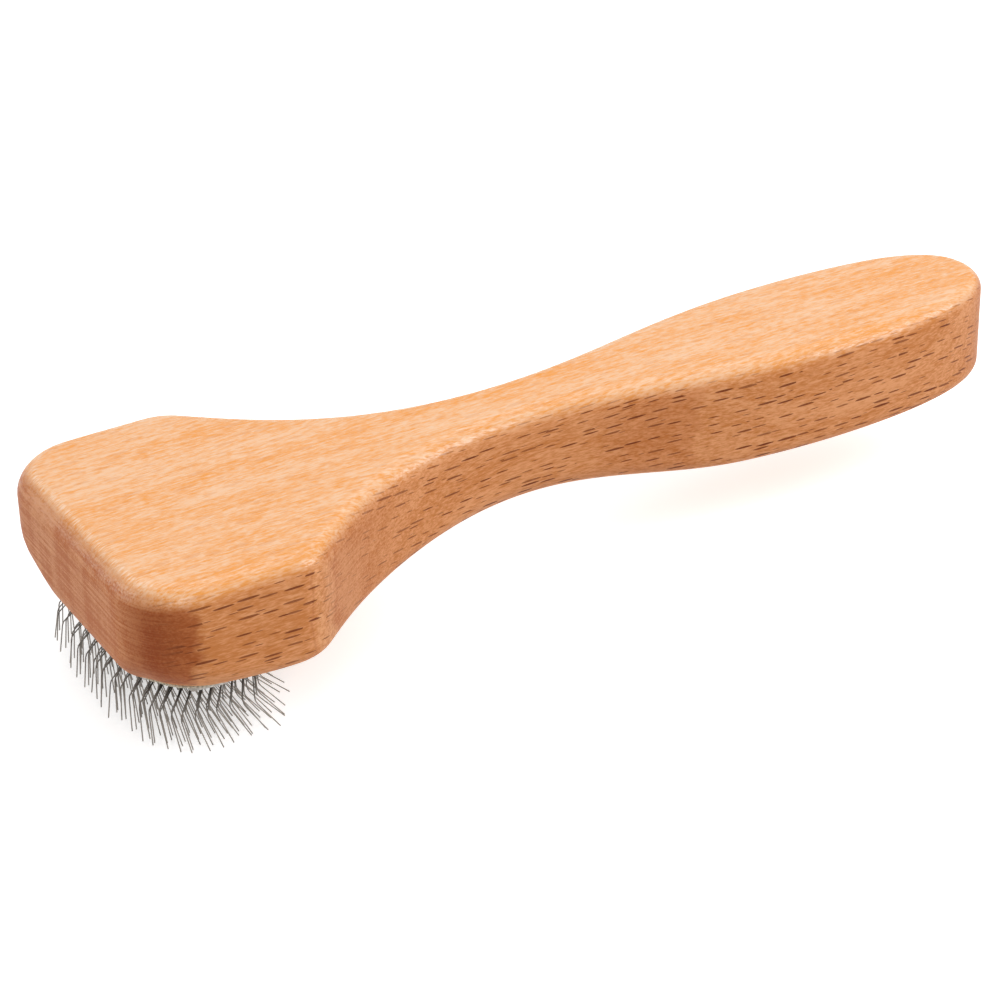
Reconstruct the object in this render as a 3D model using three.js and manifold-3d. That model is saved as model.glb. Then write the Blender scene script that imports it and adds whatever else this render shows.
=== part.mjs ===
// Hook-and-loop cleaning brush: a beech body with a cushioned pad of kneed wire pins under its head.
// Millimetres, +Z up. X runs from the front of the head to the tail of the handle, Y runs across.
// Inside the brush group X starts at the front of the head and Z at the underside of the wood.
import * as THREE from "three";
import { mergeVertices } from "three/addons/utils/BufferGeometryUtils.js";
import Module from "manifold-3d";

const wasm = await Module();
wasm.setup();

const degrees = THREE.MathUtils.degToRad;

// Beech body, seen from above
const LENGTH = 135;
const HEAD_WIDTH = 43.8;
const FRONT_CORNER_RADIUS = 8.8;
const SHOULDER_AT = 22.8;
const SHOULDER_SETBACK = 3;
const FLARE_ANGLE = degrees(41);
const FLARE_FULLNESS = 0.28;
const NECK_AT = 60.6;
const NECK_WIDTH = 11;
const NECK_FULLNESS_FRONT = 0.48;
const NECK_FULLNESS_BACK = 0.36;
const SWELL_TO_TAIL = 28.4;
const SWELL_WIDTH = 21.9;
const SWELL_FULLNESS_FRONT = 0.43;
const SWELL_FULLNESS_BACK = 0.62;
const TAIL_FULLNESS = 0.7;
const OUTLINE_STEPS = 10;

// Beech body, seen from the side
const THICKNESS = 14.6;
const TOP_EDGE_RADIUS = 2.7;
const FRONT_TOP_RADIUS = 3.4;
const LOWER_EDGE_RADIUS = 2.2;
const FRONT_LOWER_RADIUS = 3.6;
const CORNER_LOWER_EXTRA = 1.9;
const TAIL_TOP_RADIUS = 1.4;
const NECK_LOWER_RADIUS = 3.4;
const FRONT_EASE_LENGTH = 12;
const TAIL_EASE_LENGTH = 20;
const ARCH_RISE = 1.95;
const ARCH_LENGTH = 59;
const ARCH_BEHIND_NECK = 2;
const EDGE_STEPS = 4;
const LARGEST_NECK_RADIUS_SHARE = 0.4;

// Pad under the head: felt underlay, foundation cloth and the rubber face that holds the pins
const PAD_FRONT_SETBACK = 3;
const PAD_BACK_SETBACK = 1.5;
const PAD_SIDE_SETBACK = 3.1;
const PAD_MARGIN = 1.6;
const PAD_RISE_WIDTH = 0.5;
const PAD_SQUARENESS = 5;
const FELT_CROWN = 2;
const FELT_SIDE = 0.2;
const FELT_DRAW_IN = 0.3;
const CROWN_FULLNESS = 0.8;
const CLOTH_THICKNESS = 0.4;
const FACE_THICKNESS = 0.4;
const FACE_SETBACK = 0.3;
const LAYER_GAP = 0.1;
const PAD_SIDES = 20;
const CROWN_RINGS = 4;

// Kneed wire pins
const WIRE_RADIUS = 0.15;
const FIRST_LEG = 4.5;
const SECOND_LEG = 4.75;
const FIRST_LEAN = degrees(17.5);
const SECOND_LEAN = degrees(25);
const FAN_ALONG = degrees(28.5);
const FAN_ACROSS = degrees(18.2);
const FAN_CENTRE_OFFSET = 1.3;
const ROW_PITCH = 0.64;
const PIN_PITCH = 2.26;
const PIN_EDGE_DISTANCE = 0.5;
const WIRE_SIDES = 3;
const RINGS_PER_PIN = 3;
const ROOT_DEPTH = 0.25;
const TIP_CUT = 0.5;

// Staples through the margin of the pad
const STAPLE_WIDTH = 5;
const STAPLE_LEG = 5;
const STAPLE_WIRE_HEIGHT = 0.5;
const STAPLE_WIRE_WIDTH = 0.7;
const STAPLE_BEND = 0.4;
const STAPLE_BEND_STEPS = 3;
const STAPLE_POINT = 0.8;
const STAPLE_INSET = 0.65;
const STAPLE_HOLE_CLEARANCE = 0.15;
const LONG_EDGE_STAPLES = 3;
const LONG_EDGE_STAPLE_PITCH = 10.5;
const SHORT_EDGE_STAPLES = 2;
const SHORT_EDGE_STAPLE_PITCH = 6;

// Worked out from the sizes above
const SWELL_AT = LENGTH - SWELL_TO_TAIL;
const ARCH_AT = NECK_AT + ARCH_BEHIND_NECK;
const PAD_HALF_LENGTH = (SHOULDER_AT - PAD_BACK_SETBACK - PAD_FRONT_SETBACK) / 2;
const PAD_HALF_WIDTH = HEAD_WIDTH / 2 - PAD_SIDE_SETBACK;
const PAD_CENTRE = PAD_FRONT_SETBACK + PAD_HALF_LENGTH;
const CROWN_HALF_LENGTH = PAD_HALF_LENGTH - PAD_MARGIN;
const CROWN_HALF_WIDTH = PAD_HALF_WIDTH - PAD_MARGIN;

const beech = new THREE.MeshStandardMaterial({ color: 0xe3ac7a, roughness: 0.45, metalness: 0 });
const felt = new THREE.MeshStandardMaterial({ color: 0xb9b2a4, roughness: 0.95, metalness: 0 });
const cloth = new THREE.MeshStandardMaterial({ color: 0xcbc2ae, roughness: 0.9, metalness: 0 });
const steelWire = new THREE.MeshStandardMaterial({ color: 0x9a948e, roughness: 0.35, metalness: 1 });
const stapleSteel = new THREE.MeshStandardMaterial({ color: 0xb4b2ae, roughness: 0.3, metalness: 1 });

/** A closed geometry as a manifold solid. */
function solidOf(geometry) {
  const bare = new THREE.BufferGeometry();
  bare.setAttribute("position", geometry.getAttribute("position"));
  bare.setIndex(geometry.getIndex());
  const merged = mergeVertices(bare);
  const vertProperties = merged.getAttribute("position").array;
  const triVerts = new Uint32Array(merged.getIndex().array);
  return new wasm.Manifold(new wasm.Mesh({ numProp: 3, vertProperties, triVerts }));
}

/** A manifold solid as a geometry. */
function geometryOf(solid) {
  const { vertProperties, triVerts } = solid.getMesh();
  return indexedGeometry(vertProperties, triVerts);
}

/** A geometry from flat lists of coordinates and triangle corners. */
function indexedGeometry(coordinates, triangles) {
  const geometry = new THREE.BufferGeometry();
  geometry.setAttribute("position", new THREE.Float32BufferAttribute(coordinates, 3));
  geometry.setIndex(new THREE.Uint32BufferAttribute(triangles, 1));
  geometry.computeVertexNormals();
  return geometry;
}

/** The triangles of the walls between rings of equally many points, listed from one end to the other. */
function ringWalls(ringCount, ringSize) {
  const triangles = [];
  for (let ring = 0; ring < ringCount - 1; ring++) {
    for (let i = 0; i < ringSize; i++) {
      const next = (i + 1) % ringSize;
      const lower = ring * ringSize;
      const upper = lower + ringSize;
      triangles.push(lower + i, lower + next, upper + next);
      triangles.push(lower + i, upper + next, upper + i);
    }
  }
  return triangles;
}

/** Half of the body's outline, from the front corner to the tip of the tail, with Y above zero. */
function halfOutline() {
  const headSide = HEAD_WIDTH / 2;
  const shoulder = new THREE.Vector2(SHOULDER_AT, headSide);
  const neck = new THREE.Vector2(NECK_AT, NECK_WIDTH / 2);
  const swell = new THREE.Vector2(SWELL_AT, SWELL_WIDTH / 2);
  const down = new THREE.Vector2(Math.cos(FLARE_ANGLE), -Math.sin(FLARE_ANGLE));
  const flare = shoulder.clone().addScaledVector(down, SHOULDER_SETBACK);
  const flareSpan = flare.distanceTo(neck);
  const flarePull = flare.clone().addScaledVector(down, FLARE_FULLNESS * flareSpan);
  const gripSpan = SWELL_AT - NECK_AT;
  const path = new THREE.Path();
  path.moveTo(0, headSide - FRONT_CORNER_RADIUS);
  path.absarc(
    FRONT_CORNER_RADIUS,
    headSide - FRONT_CORNER_RADIUS,
    FRONT_CORNER_RADIUS,
    Math.PI,
    Math.PI / 2,
    true,
  );
  path.lineTo(SHOULDER_AT - SHOULDER_SETBACK, headSide);
  path.quadraticCurveTo(shoulder.x, shoulder.y, flare.x, flare.y);
  path.bezierCurveTo(
    flarePull.x,
    flarePull.y,
    neck.x - NECK_FULLNESS_FRONT * flareSpan,
    neck.y,
    neck.x,
    neck.y,
  );
  path.bezierCurveTo(
    neck.x + NECK_FULLNESS_BACK * gripSpan,
    neck.y,
    swell.x - SWELL_FULLNESS_FRONT * gripSpan,
    swell.y,
    swell.x,
    swell.y,
  );
  path.bezierCurveTo(
    swell.x + SWELL_FULLNESS_BACK * SWELL_TO_TAIL,
    swell.y,
    LENGTH,
    TAIL_FULLNESS * swell.y,
    LENGTH,
    0,
  );
  return path.getPoints(OUTLINE_STEPS);
}

/** The whole outline, anticlockwise from above, with the outward direction at each point. */
function bodyOutline() {
  const half = halfOutline();
  const near = half.map((p) => new THREE.Vector2(p.x, -p.y));
  const far = half.slice(0, -1).reverse();
  const points = [...near, ...far];
  const count = points.length;
  const outward = points.map((point, i) => {
    const before = point.clone().sub(points[(i + count - 1) % count]).normalize();
    const after = points[(i + 1) % count].clone().sub(point).normalize();
    const along = before.add(after).normalize();
    return new THREE.Vector2(along.y, -along.x);
  });
  return { points, outward, halfCount: half.length };
}

/** How far a place lies inside the arch of the underside: one at its top, zero outside it. */
function archShare(x) {
  const offset = THREE.MathUtils.clamp((2 * (x - ARCH_AT)) / ARCH_LENGTH, -1, 1);
  return (1 + Math.cos(Math.PI * offset)) / 2;
}

/** How far a place belongs to the front edge of the head: one at the front, zero past the ease. */
function frontShare(x) {
  return 1 - THREE.MathUtils.smoothstep(x, 0, FRONT_EASE_LENGTH);
}

/** How far a place belongs to the end of the tail: one at the tip, zero before the ease. */
function tailShare(x) {
  return THREE.MathUtils.smoothstep(x, LENGTH - TAIL_EASE_LENGTH, LENGTH);
}

/** How far a place lies in a front corner: one where its outward direction is diagonal, zero outside. */
function cornerShare(x, outward) {
  return x < FRONT_CORNER_RADIUS ? 2 * Math.abs(outward.x * outward.y) : 0;
}

/** The rounding of the lower edge at a place along the body. */
function lowerRadius(x, outward) {
  const neckRadius = Math.min(NECK_LOWER_RADIUS, LARGEST_NECK_RADIUS_SHARE * NECK_WIDTH);
  const front = (FRONT_LOWER_RADIUS - LOWER_EDGE_RADIUS) * frontShare(x);
  const corner = CORNER_LOWER_EXTRA * cornerShare(x, outward);
  const neck = (neckRadius - LOWER_EDGE_RADIUS) * archShare(x);
  return LOWER_EDGE_RADIUS + front + corner + neck;
}

/** The rounding of the top edge at a place along the body. */
function topRadius(x) {
  const front = (FRONT_TOP_RADIUS - TOP_EDGE_RADIUS) * frontShare(x);
  const tail = (TAIL_TOP_RADIUS - TOP_EDGE_RADIUS) * tailShare(x);
  return TOP_EDGE_RADIUS + front + tail;
}

/** The body as rings round its outline: up the lower rounding, up the wall, over the top rounding. */
function bodyGeometry() {
  const { points, outward, halfCount } = bodyOutline();
  const coordinates = [];
  const addRing = (insetAndHeight) => {
    points.forEach((point, i) => {
      const [inset, height] = insetAndHeight(point.x, outward[i]);
      coordinates.push(point.x - outward[i].x * inset, point.y - outward[i].y * inset, height);
    });
  };
  for (let step = 0; step <= EDGE_STEPS; step++) {
    const turn = (step / EDGE_STEPS) * (Math.PI / 2);
    addRing((x, facing) => [
      lowerRadius(x, facing) * (1 - Math.sin(turn)),
      ARCH_RISE * archShare(x) + lowerRadius(x, facing) * (1 - Math.cos(turn)),
    ]);
  }
  for (let step = 0; step <= EDGE_STEPS; step++) {
    const turn = (step / EDGE_STEPS) * (Math.PI / 2);
    addRing((x) => [
      topRadius(x) * (1 - Math.cos(turn)),
      THICKNESS - topRadius(x) * (1 - Math.sin(turn)),
    ]);
  }
  const ringCount = 2 * (EDGE_STEPS + 1);
  const ringSize = points.length;
  const triangles = ringWalls(ringCount, ringSize);
  const top = (ringCount - 1) * ringSize;
  const mirror = (i) => ringSize - 1 - i;
  for (let i = 0; i < halfCount - 1; i++) {
    const [a, b, c, d] = [i, i + 1, mirror(i + 1), mirror(i)];
    triangles.push(a, d, b, top + a, top + b, top + d);
    if (b !== c) triangles.push(d, c, b, top + b, top + c, top + d);
  }
  return indexedGeometry(coordinates, triangles);
}

/** A ring of the pad's rounded outline, with these half sizes, at a height. */
function padRing(halfLength, halfWidth, height) {
  const ring = [];
  const round = (value) => Math.sign(value) * Math.abs(value) ** (2 / PAD_SQUARENESS);
  for (let i = 0; i < PAD_SIDES; i++) {
    const turn = ((2 * i + 1) * Math.PI) / PAD_SIDES;
    const x = PAD_CENTRE + halfLength * round(Math.cos(turn));
    const y = halfWidth * round(Math.sin(turn));
    ring.push(x, y, height);
  }
  return ring;
}

/** A closed solid through rings of the pad, from the middle of its lower face to that of its upper. */
function padSolid(lowerMiddle, rings, upperMiddle) {
  const triangles = ringWalls(rings.length, PAD_SIDES);
  const lowerCentre = rings.length * PAD_SIDES;
  const upperCentre = lowerCentre + 1;
  const lastRing = lowerCentre - PAD_SIDES;
  for (let i = 0; i < PAD_SIDES; i++) {
    const next = (i + 1) % PAD_SIDES;
    triangles.push(lowerCentre, next, i);
    triangles.push(upperCentre, lastRing + i, lastRing + next);
  }
  const middles = [PAD_CENTRE, 0, lowerMiddle, PAD_CENTRE, 0, upperMiddle];
  return indexedGeometry([...rings.flat(), ...middles], triangles);
}

/** The felt's depth below the wood, where share runs from zero in the middle to one at its rim. */
function feltDepth(share) {
  return FELT_SIDE + (FELT_CROWN - FELT_SIDE) * (1 - share * share) ** CROWN_FULLNESS;
}

/** The shares of the crown's size that its rings have, from the middle out to the last one given. */
function crownShares(last) {
  const step = Math.PI / (2 * CROWN_RINGS);
  return Array.from({ length: CROWN_RINGS }, (_, i) => last * Math.sin(step * (i + 1)));
}

/** A ring of the crown at a share of its size, this much deeper than the felt there. */
function crownRing(share, below) {
  return padRing(CROWN_HALF_LENGTH * share, CROWN_HALF_WIDTH * share, -feltDepth(share) - below);
}

/** The felt underlay: flat on the wood, crowned below, with its sides drawn in. */
function feltGeometry() {
  const crown = crownShares(1).map((share) => crownRing(share, 0));
  const foot = padRing(CROWN_HALF_LENGTH - FELT_DRAW_IN, CROWN_HALF_WIDTH - FELT_DRAW_IN, 0);
  return padSolid(-FELT_CROWN, [...crown, foot], 0);
}

/** The foundation cloth: a sheet over the felt, with a flat margin on the wood. */
function clothGeometry() {
  const inner = crownShares(1).map((share) => crownRing(share, LAYER_GAP));
  const outer = crownShares(1).map((share) => crownRing(share, LAYER_GAP + CLOTH_THICKNESS));
  const riseLength = CROWN_HALF_LENGTH + PAD_RISE_WIDTH;
  const riseWidth = CROWN_HALF_WIDTH + PAD_RISE_WIDTH;
  const margin = [
    padRing(riseLength, riseWidth, -CLOTH_THICKNESS),
    padRing(PAD_HALF_LENGTH, PAD_HALF_WIDTH, -CLOTH_THICKNESS),
    padRing(PAD_HALF_LENGTH, PAD_HALF_WIDTH, 0),
    padRing(riseLength, riseWidth, 0),
  ];
  const innerMiddle = -FELT_CROWN - LAYER_GAP;
  const rings = [...outer, ...margin, ...inner.reverse()];
  return padSolid(innerMiddle - CLOTH_THICKNESS, rings, innerMiddle);
}

const FACE_TOP = CLOTH_THICKNESS + 2 * LAYER_GAP;
const FACE_SHARE = 1 - FACE_SETBACK / CROWN_HALF_LENGTH;

/** The slice of rubber face that the pins stand in. */
function faceGeometry() {
  const shares = crownShares(FACE_SHARE);
  const outer = shares.map((share) => crownRing(share, FACE_TOP + FACE_THICKNESS));
  const inner = shares.map((share) => crownRing(share, FACE_TOP));
  const innerMiddle = -FELT_CROWN - FACE_TOP;
  return padSolid(innerMiddle - FACE_THICKNESS, [...outer, ...inner.reverse()], innerMiddle);
}

/** The share of the crown at which a place lies: zero in the middle, one on the crown's rim. */
function crownShareAt(x, y) {
  const along = Math.abs(x / CROWN_HALF_LENGTH) ** PAD_SQUARENESS;
  const across = Math.abs(y / CROWN_HALF_WIDTH) ** PAD_SQUARENESS;
  return (along + across) ** (1 / PAD_SQUARENESS);
}

/** One pin: its root, the directions of its two legs, its knee and its tip before the cut. */
function pinAt(x, y) {
  const tiltAlong = (FAN_ALONG * (x - FAN_CENTRE_OFFSET)) / CROWN_HALF_LENGTH;
  const tiltAcross = (FAN_ACROSS * y) / CROWN_HALF_WIDTH;
  const outward = new THREE.Vector3(
    Math.sin(tiltAlong) * Math.cos(tiltAcross),
    Math.sin(tiltAcross),
    -Math.cos(tiltAlong) * Math.cos(tiltAcross),
  );
  const back = new THREE.Vector3(Math.cos(tiltAlong), 0, Math.sin(tiltAlong));
  const lean = (angle) =>
    outward.clone().multiplyScalar(Math.cos(angle)).addScaledVector(back, Math.sin(angle)).normalize();
  const first = lean(-FIRST_LEAN);
  const second = lean(SECOND_LEAN);
  const depth = feltDepth(crownShareAt(x, y)) + FACE_TOP + FACE_THICKNESS - ROOT_DEPTH;
  const root = new THREE.Vector3(PAD_CENTRE + x, y, -depth);
  const knee = root.clone().addScaledVector(first, FIRST_LEG);
  const tip = knee.clone().addScaledVector(second, SECOND_LEG);
  return { root, first, knee, second, tip };
}

/** The pins in staggered rows over the rubber face. */
function pinField() {
  const fieldShare = 1 - PIN_EDGE_DISTANCE / CROWN_HALF_LENGTH;
  const rows = Math.floor(CROWN_HALF_LENGTH / ROW_PITCH);
  const columns = Math.ceil(CROWN_HALF_WIDTH / PIN_PITCH);
  const pins = [];
  for (let row = -rows; row <= rows; row++) {
    const stagger = row % 2 === 0 ? 0 : PIN_PITCH / 2;
    for (let column = -columns; column <= columns; column++) {
      const x = row * ROW_PITCH;
      const y = column * PIN_PITCH + stagger;
      if (crownShareAt(x, y) <= fieldShare) pins.push(pinAt(x, y));
    }
  }
  return pins;
}

/** All pins as closed three-sided wires, each cut level at its tip and none below the floor. */
function wireGeometry(pins, floor) {
  const coordinates = [];
  const triangles = [];
  const walls = ringWalls(RINGS_PER_PIN, WIRE_SIDES);
  const corner = (centre, across, along, i) => {
    const turn = (2 * Math.PI * i) / WIRE_SIDES;
    return centre
      .clone()
      .addScaledVector(across, WIRE_RADIUS * Math.cos(turn))
      .addScaledVector(along, WIRE_RADIUS * Math.sin(turn));
  };
  for (const { root, first, knee, second, tip } of pins) {
    const start = coordinates.length / 3;
    const across = first.clone().cross(second).normalize();
    const firstSide = first.clone().cross(across);
    const secondSide = second.clone().cross(across);
    const mitre = firstSide.clone().add(secondSide).normalize();
    mitre.divideScalar(mitre.dot(firstSide));
    const level = Math.max(tip.z, floor);
    const rootRing = [];
    const kneeRing = [];
    const tipRing = [];
    for (let i = 0; i < WIRE_SIDES; i++) {
      const bend = corner(knee, across, mitre, i);
      rootRing.push(...corner(root, across, firstSide, i));
      kneeRing.push(...bend);
      tipRing.push(...bend.clone().addScaledVector(second, (level - bend.z) / second.z));
    }
    coordinates.push(...rootRing, ...kneeRing, ...tipRing);
    triangles.push(...walls.map((i) => start + i));
    for (let i = 1; i < WIRE_SIDES - 1; i++) {
      const end = start + (RINGS_PER_PIN - 1) * WIRE_SIDES;
      triangles.push(start, start + i + 1, start + i, end, end + i, end + i + 1);
    }
  }
  return indexedGeometry(coordinates, triangles);
}

/** A staple, its crown along X under the cloth and its two pointed legs going up. */
function stapleGeometry() {
  const half = STAPLE_WIDTH / 2;
  const inside = half - STAPLE_WIRE_HEIGHT;
  const shape = new THREE.Shape();
  shape.moveTo(-half + STAPLE_BEND, -STAPLE_WIRE_HEIGHT);
  shape.lineTo(half - STAPLE_BEND, -STAPLE_WIRE_HEIGHT);
  shape.quadraticCurveTo(half, -STAPLE_WIRE_HEIGHT, half, STAPLE_BEND - STAPLE_WIRE_HEIGHT);
  shape.lineTo(half, STAPLE_LEG - STAPLE_POINT);
  shape.lineTo(inside, STAPLE_LEG);
  shape.lineTo(inside, 0);
  shape.lineTo(-inside, 0);
  shape.lineTo(-inside, STAPLE_LEG);
  shape.lineTo(-half, STAPLE_LEG - STAPLE_POINT);
  shape.lineTo(-half, STAPLE_BEND - STAPLE_WIRE_HEIGHT);
  shape.quadraticCurveTo(-half, -STAPLE_WIRE_HEIGHT, -half + STAPLE_BEND, -STAPLE_WIRE_HEIGHT);
  const geometry = new THREE.ExtrudeGeometry(shape, {
    depth: STAPLE_WIRE_WIDTH,
    bevelEnabled: false,
    curveSegments: STAPLE_BEND_STEPS,
  });
  geometry.translate(0, 0, -STAPLE_WIRE_WIDTH / 2);
  geometry.rotateX(Math.PI / 2);
  return geometry;
}

/** Where the staples lie on the margin: a name, the middle of the crown and whether it runs across. */
function staplePlaces() {
  const places = [];
  const spread = (count, pitch) => Array.from({ length: count }, (_, i) => (i - (count - 1) / 2) * pitch);
  const edgeX = PAD_HALF_LENGTH - STAPLE_INSET;
  const edgeY = PAD_HALF_WIDTH - STAPLE_INSET;
  spread(LONG_EDGE_STAPLES, LONG_EDGE_STAPLE_PITCH).forEach((y, i) => {
    places.push({ name: `front_staple_${i + 1}`, x: PAD_CENTRE - edgeX, y, across: true });
    places.push({ name: `back_staple_${i + 1}`, x: PAD_CENTRE + edgeX, y, across: true });
  });
  spread(SHORT_EDGE_STAPLES, SHORT_EDGE_STAPLE_PITCH).forEach((x, i) => {
    places.push({ name: `near_side_staple_${i + 1}`, x: PAD_CENTRE + x, y: -edgeY, across: false });
    places.push({ name: `far_side_staple_${i + 1}`, x: PAD_CENTRE + x, y: edgeY, across: false });
  });
  return places;
}

/** Cuts the holes of the staples' legs out of a solid. */
function withStapleHoles(solid, places) {
  const legLength = STAPLE_LEG + CLOTH_THICKNESS;
  const along = STAPLE_WIRE_HEIGHT + 2 * STAPLE_HOLE_CLEARANCE;
  const sideways = STAPLE_WIRE_WIDTH + 2 * STAPLE_HOLE_CLEARANCE;
  const legOffset = (STAPLE_WIDTH - STAPLE_WIRE_HEIGHT) / 2;
  let cut = solid;
  for (const { x, y, across } of places) {
    for (const side of [-1, 1]) {
      const size = across ? [sideways, along] : [along, sideways];
      const hole = new THREE.BoxGeometry(...size, 2 * legLength);
      const shift = side * legOffset;
      hole.translate(across ? x : x + shift, across ? y + shift : y, 0);
      cut = cut.subtract(solidOf(hole));
    }
  }
  return cut;
}

const brush = new THREE.Group();

/** Adds a named piece to the brush. */
function addPiece(name, geometry, material) {
  const mesh = new THREE.Mesh(geometry, material);
  mesh.name = name;
  brush.add(mesh);
  return mesh;
}

const places = staplePlaces();
const pins = pinField();
const standHeight = Math.max(...pins.map((pin) => -pin.tip.z)) - TIP_CUT;

addPiece("beech_body", geometryOf(withStapleHoles(solidOf(bodyGeometry()), places)), beech);
addPiece("felt_underlay", feltGeometry(), felt);
addPiece("foundation_cloth", geometryOf(withStapleHoles(solidOf(clothGeometry()), places)), cloth);
const wires = solidOf(wireGeometry(pins, -standHeight));
addPiece("wire_pins", geometryOf(solidOf(faceGeometry()).add(wires)), steelWire);
for (const { name, x, y, across } of places) {
  const staple = addPiece(name, stapleGeometry(), stapleSteel);
  staple.position.set(x, y, -CLOTH_THICKNESS);
  staple.rotation.z = across ? Math.PI / 2 : 0;
}

brush.position.set(-LENGTH / 2, 0, standHeight);

const part = new THREE.Group();
part.add(brush);

export default part;
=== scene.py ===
# %% [markdown]
# # A hook-and-loop cleaning brush
# A small hand brush that combs lint and thread out of hook-and-loop fasteners. One piece of oiled beech
# makes the head and the waisted handle. Under the head sits a crowned pad of felt, cloth and rubber,
# and the pad holds rows of steel wires with a knee in the middle.
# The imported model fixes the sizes. This lesson dresses it: every piece here sits where the model says.

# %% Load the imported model
import math

import bpy
import numpy as np
from mathutils import Matrix, Vector


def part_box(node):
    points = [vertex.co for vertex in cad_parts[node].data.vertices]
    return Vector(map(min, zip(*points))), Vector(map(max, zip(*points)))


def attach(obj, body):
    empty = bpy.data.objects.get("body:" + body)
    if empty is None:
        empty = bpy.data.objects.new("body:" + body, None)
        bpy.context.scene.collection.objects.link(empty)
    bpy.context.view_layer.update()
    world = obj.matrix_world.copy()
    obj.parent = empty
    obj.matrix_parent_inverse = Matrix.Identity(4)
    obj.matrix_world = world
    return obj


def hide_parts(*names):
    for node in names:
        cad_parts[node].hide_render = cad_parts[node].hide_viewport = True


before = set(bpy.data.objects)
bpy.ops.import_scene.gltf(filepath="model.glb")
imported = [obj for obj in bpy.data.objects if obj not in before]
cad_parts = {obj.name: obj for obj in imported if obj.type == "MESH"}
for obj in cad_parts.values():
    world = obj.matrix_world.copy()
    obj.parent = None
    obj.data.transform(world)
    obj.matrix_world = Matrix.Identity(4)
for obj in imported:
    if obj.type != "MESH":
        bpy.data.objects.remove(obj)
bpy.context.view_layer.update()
MM = 0.001

wood_low, wood_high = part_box("beech_body")
LENGTH = wood_high.x - wood_low.x
HEAD_HALF_WIDTH = wood_high.y
FRONT = wood_low.x
UNDERSIDE = wood_low.z
THICKNESS = wood_high.z - wood_low.z
print("wood", [round(size / MM, 2) for size in (LENGTH, 2 * HEAD_HALF_WIDTH, THICKNESS)], "mm")

# %% [markdown]
# ## The camera
# A camera can be placed by eye, or worked out. Here the photo's outline gave its angles, its distance and
# its focal length in pixels of a picture 1000 pixels wide. The wood's centre lands on one named pixel, so
# the camera steps sideways by that pixel's distance from the middle, and no lens shift is needed.

# %% Place the camera
CAMERA_AZIMUTH = math.radians(-29.78)
CAMERA_ELEVATION = math.radians(30.18)
CAMERA_ROLL = math.radians(-1.34)
CAMERA_DISTANCE = 406.75 * MM
PICTURE_WIDTH = 1000
FOCAL_PIXELS = 3151.3
WOOD_CENTRE_PIXEL = (550.4, 435.2)
SENSOR_WIDTH = 36
NEAREST_SEEN = 0.01
FARTHEST_SEEN = 20


def camera_axes(azimuth, elevation, roll):
    """Right, up and backward: right lies level before the roll, and backward points to the camera."""
    level = math.cos(elevation)
    backward = Vector((math.sin(azimuth) * level, -math.cos(azimuth) * level, math.sin(elevation)))
    right = Vector((math.cos(azimuth), math.sin(azimuth), 0))
    up = backward.cross(right)
    rolled_right = right * math.cos(roll) + up * math.sin(roll)
    rolled_up = up * math.cos(roll) - right * math.sin(roll)
    return rolled_right, rolled_up, backward


def place_camera():
    """Puts the camera one distance back from the wood's centre, then aside by the pixel's offset."""
    right, up, backward = camera_axes(CAMERA_AZIMUTH, CAMERA_ELEVATION, CAMERA_ROLL)
    data = bpy.data.cameras.new("camera")
    data.sensor_width = SENSOR_WIDTH
    data.lens = FOCAL_PIXELS * SENSOR_WIDTH / PICTURE_WIDTH
    data.clip_start = NEAREST_SEEN
    data.clip_end = FARTHEST_SEEN
    per_pixel = CAMERA_DISTANCE / FOCAL_PIXELS
    middle = PICTURE_WIDTH / 2
    aside = (WOOD_CENTRE_PIXEL[0] - middle) * per_pixel
    above = (middle - WOOD_CENTRE_PIXEL[1]) * per_pixel
    centre = Vector((0, 0, UNDERSIDE + THICKNESS / 2))
    eye = centre + backward * CAMERA_DISTANCE - right * aside - up * above
    camera = bpy.data.objects.new("camera", data)
    bpy.context.scene.collection.objects.link(camera)
    camera.matrix_world = Matrix.Translation(eye) @ Matrix((right, up, backward)).transposed().to_4x4()
    bpy.context.scene.camera = camera
    return camera


camera = place_camera()
print("camera lens", round(camera.data.lens, 1), "mm")

# %% [markdown]
# ## From arrays to pieces
# Each new piece is a grid of points worked out with numpy. These helpers join a grid into faces and put
# the arrays into a mesh. Smooth shading is right for them, because every edge of the brush is rounded.

# %% Helpers for meshes
BODY = "root"


def grid_quads(ids, wrap=False):
    """Quads of a grid of vertex numbers, row by row; wrap joins the last column to the first."""
    columns = np.concatenate([ids, ids[:, :1]], axis=1) if wrap else ids
    corners = [columns[:-1, :-1], columns[:-1, 1:], columns[1:, 1:], columns[1:, :-1]]
    return np.stack(corners, axis=-1).reshape(-1, 4)


def ring_ids(first, rings, around):
    """Vertex numbers of rings that were stored one after another, starting at a first number."""
    return first + np.arange(rings * around).reshape(rings, around)


def add_piece(name, points, faces, replaced=()):
    """A mesh object from an array of points and lists of faces, riding on the brush's one body."""
    mesh = bpy.data.meshes.new(name)
    mesh.from_pydata(np.asarray(points).tolist(), [], faces)
    mesh.validate()
    mesh.polygons.foreach_set("use_smooth", np.ones(len(mesh.polygons), bool))
    mesh.update()
    piece = bpy.data.objects.new(name, mesh)
    bpy.context.scene.collection.objects.link(piece)
    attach(piece, BODY)
    if replaced:
        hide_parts(*replaced)
    print(name, len(mesh.vertices), "vertices", len(mesh.polygons), "faces")
    return piece


# %% [markdown]
# ## The outline of the wood
# Seen from above, the head is a rounded block, the flare runs in to a narrow neck, and the handle swells
# and ends round. A bandsaw follows such a line. It could be drawn with Blender's own curves, but a few
# Bezier stretches in numpy keep the sizes in sight and give evenly spaced points.

# %% Helpers for curves
CURVE_STEPS = 400


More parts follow.
